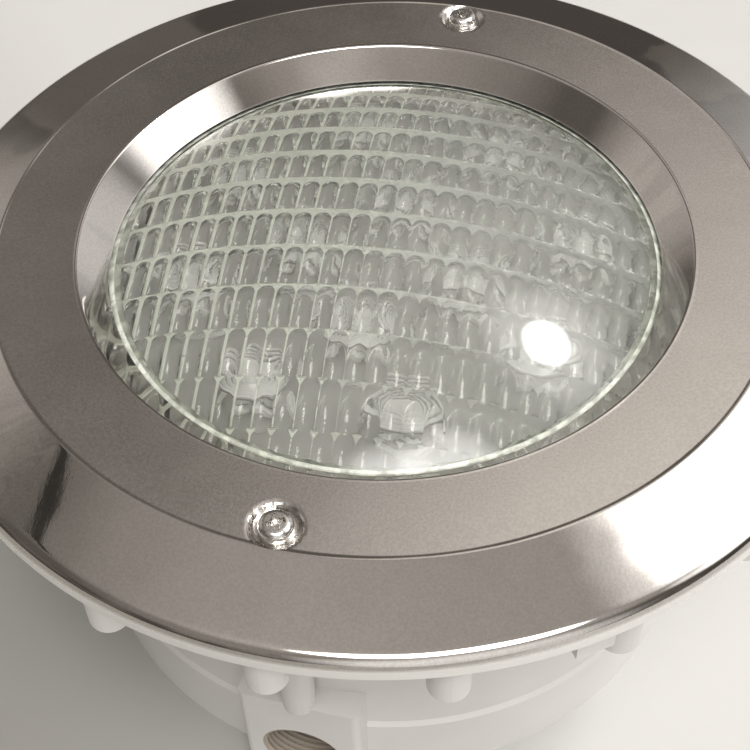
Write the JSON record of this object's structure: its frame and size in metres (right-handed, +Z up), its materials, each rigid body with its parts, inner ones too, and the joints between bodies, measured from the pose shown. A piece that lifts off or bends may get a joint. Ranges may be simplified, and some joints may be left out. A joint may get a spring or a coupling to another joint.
{
  "type": "underwater pool light",
  "caption": "Round flush-mounted underwater light: steel face ring, domed prismatic glass lens and LED lamp unit in a plastic wall niche.",
  "frame": {"origin": "centre of the niche's base, on the lamp's axis", "axes": "+Z up the lamp's axis towards the lens; -Y out of the conduit port"},
  "size_m": [0.291, 0.291, 0.1515],
  "materials": {
    "steel_polished": "mirror-polished bevels with a finely brushed flat band",
    "steel_screw": "bright turned stainless",
    "abs_white": "glossy moulded white",
    "carrier_grey": "moulded grey",
    "shell_grey": "moulded light grey",
    "silicone_clear": "translucent pale silicone",
    "rubber_black": "matt black",
    "brass": "turned brass",
    "lens_glass": "clear pressed glass with a faint green tint",
    "optic_clear": "clear moulded acrylic",
    "plate_grey": "satin grey",
    "led_package": "white ceramic with a yellow phosphor",
    "holder_white": "white moulded",
    "pad_blue": "soft matt pad",
    "sink_aluminium": "die-cast, satin",
    "board_green": "solder-masked board",
    "ferrite": "dark ferrite",
    "sleeve_black": "shrink sleeve",
    "chip_black": "moulded epoxy",
    "terminal_blue": "moulded nylon",
    "lead_white": "silicone insulation"
  },
  "bodies": {
    "niche": {"niche_housing": "abs_white", "screw_inserts": "brass", "flange_gasket": "rubber_black", "clamp_ring": "abs_white", "clamp_screws": "steel_screw"},
    "lamp_unit": {"face_ring": "steel_polished", "front_lens": "lens_glass", "lens_gasket": "silicone_clear", "lamp_carrier": "carrier_grey", "lamp_clips": "steel_screw", "clip_screws": "steel_screw", "lamp_shell": "shell_grey", "rear_cap_seal": "rubber_black", "rear_cap": "shell_grey", "rear_cap_screws": "steel_screw", "gland_body": "brass", "gland_seal": "rubber_black", "gland_nut": "brass", "led_plate": "plate_grey", "plate_screws": "steel_screw", "led_emitters": "led_package", "optic_holders": "holder_white", "led_optics": "optic_clear", "thermal_pad": "pad_blue", "heat_sink": "sink_aluminium", "board_posts": "brass", "driver_board": "board_green", "board_screws": "steel_screw", "driver_inductor": "ferrite", "driver_capacitors": "sleeve_black", "driver_rectifier": "chip_black", "driver_terminals": "terminal_blue", "lead_wires": "lead_white"},
    "near_washer": {"screw_washer_near": "steel_screw"},
    "near_screw": {"face_screw_near": "steel_screw"},
    "far_washer": {"screw_washer_far": "steel_screw"},
    "far_screw": {"face_screw_far": "steel_screw"}
  },
  "joints": [
    {"name": "lamp_lift", "type": "slide", "parent": "niche", "child": "lamp_unit", "axis": [0, 0, 1], "range_m": [0, 0.15]},
    {"name": "near_washer_rise", "type": "slide", "parent": "lamp_unit", "child": "near_washer", "axis": [0, 0, 1], "range_m": [0, 0.0144]},
    {"name": "near_screw_turn", "type": "hinge", "parent": "near_washer", "child": "near_screw", "pos_m": [0, -0.112, 0.1403], "axis": [0, 0, 1], "range_deg": [0, 6480]},
    {"name": "far_washer_rise", "type": "slide", "parent": "lamp_unit", "child": "far_washer", "axis": [0, 0, 1], "range_m": [0, 0.0144]},
    {"name": "far_screw_turn", "type": "hinge", "parent": "far_washer", "child": "far_screw", "pos_m": [0, 0.112, 0.1403], "axis": [0, 0, 1], "range_deg": [0, 6480]}
  ],
  "couplings": [
    {"joint": "near_screw_turn", "follows": "near_washer_rise", "rad_per_m": 7854},
    {"joint": "far_screw_turn", "follows": "far_washer_rise", "rad_per_m": 7854}
  ]
}
